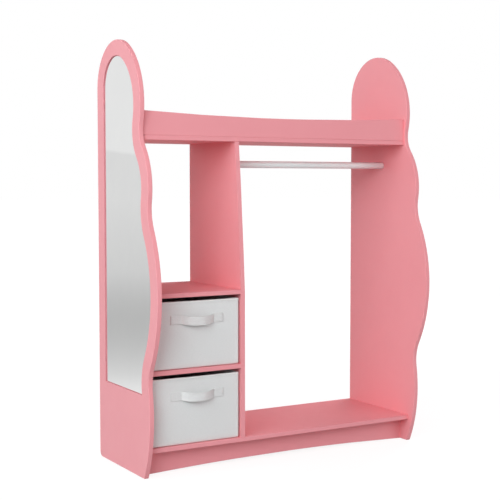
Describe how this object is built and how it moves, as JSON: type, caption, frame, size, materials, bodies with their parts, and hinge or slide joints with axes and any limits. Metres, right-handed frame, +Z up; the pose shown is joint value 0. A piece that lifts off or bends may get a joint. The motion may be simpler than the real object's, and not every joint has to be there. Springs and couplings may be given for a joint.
{
  "type": "children's dress-up storage unit",
  "caption": "Children's dress-up storage unit with wavy side panels, a side mirror, a hanging rod, a tray on top and fabric bins.",
  "frame": {"origin": "on the floor under the middle of the unit's box", "axes": "+X to the right seen from the front, +Y towards the rear, +Z up; the mirror is on the -X side panel"},
  "size_m": [0.836, 0.3606, 1.099],
  "materials": {
    "pink_paint": "satin pink lacquer on smooth fibreboard",
    "pink_hardboard": "pink painted hardboard",
    "mirror": "silvered acrylic sheet",
    "foam_tape": "double-sided foam tape",
    "white_rod": "white lacquered round rod",
    "grey_fabric": "light grey non-woven cloth over board",
    "grey_strap": "light grey woven strap",
    "board_stiffener": "grey board",
    "zinc_steel": "zinc plated",
    "cast_zinc": "die-cast zinc",
    "beech": "fluted beech"
  },
  "bodies": {
    "carcass": {"left_side_panel": "pink_paint", "right_side_panel": "pink_paint", "divider_panel": "pink_paint", "top_shelf": "pink_paint", "top_front_rail": "pink_paint", "top_back_rail": "pink_paint", "bin_top_shelf": "pink_paint", "bin_middle_shelf": "pink_paint", "bottom_shelf": "pink_paint", "toe_kick": "pink_paint", "rear_plinth_rail": "pink_paint", "bin_back_panel": "pink_hardboard", "mirror_sheet": "mirror", "mirror_pads": "foam_tape", "hanging_rod": "white_rod", "top_shelf_cam_bolts": "zinc_steel", "top_shelf_cam_nuts": "cast_zinc", "top_shelf_dowels": "beech", "bottom_shelf_cam_bolts": "zinc_steel", "bottom_shelf_cam_nuts": "cast_zinc", "bottom_shelf_dowels": "beech", "bin_top_shelf_cam_bolts": "zinc_steel", "bin_top_shelf_cam_nuts": "cast_zinc", "bin_top_shelf_dowels": "beech", "bin_middle_shelf_cam_bolts": "zinc_steel", "bin_middle_shelf_cam_nuts": "cast_zinc", "bin_middle_shelf_dowels": "beech", "tray_rail_cam_bolts": "zinc_steel", "tray_rail_cam_nuts": "cast_zinc", "tray_rail_dowels": "beech", "plinth_cam_bolts": "zinc_steel", "plinth_cam_nuts": "cast_zinc", "plinth_dowels": "beech", "divider_top_screws": "zinc_steel", "divider_bottom_screws": "zinc_steel", "divider_dowels": "beech"},
    "upper_bin": {"upper_bin_fabric": "grey_fabric", "upper_bin_stiffeners": "board_stiffener", "upper_bin_base_board": "board_stiffener", "upper_bin_handle": "grey_strap"},
    "lower_bin": {"lower_bin_fabric": "grey_fabric", "lower_bin_stiffeners": "board_stiffener", "lower_bin_base_board": "board_stiffener", "lower_bin_handle": "grey_strap"}
  },
  "joints": [
    {"name": "upper_bin_slide", "type": "slide", "parent": "carcass", "child": "upper_bin", "axis": [0, -1, 0], "range_m": [0, 0.25]},
    {"name": "lower_bin_slide", "type": "slide", "parent": "carcass", "child": "lower_bin", "axis": [0, -1, 0], "range_m": [0, 0.25]}
  ]
}
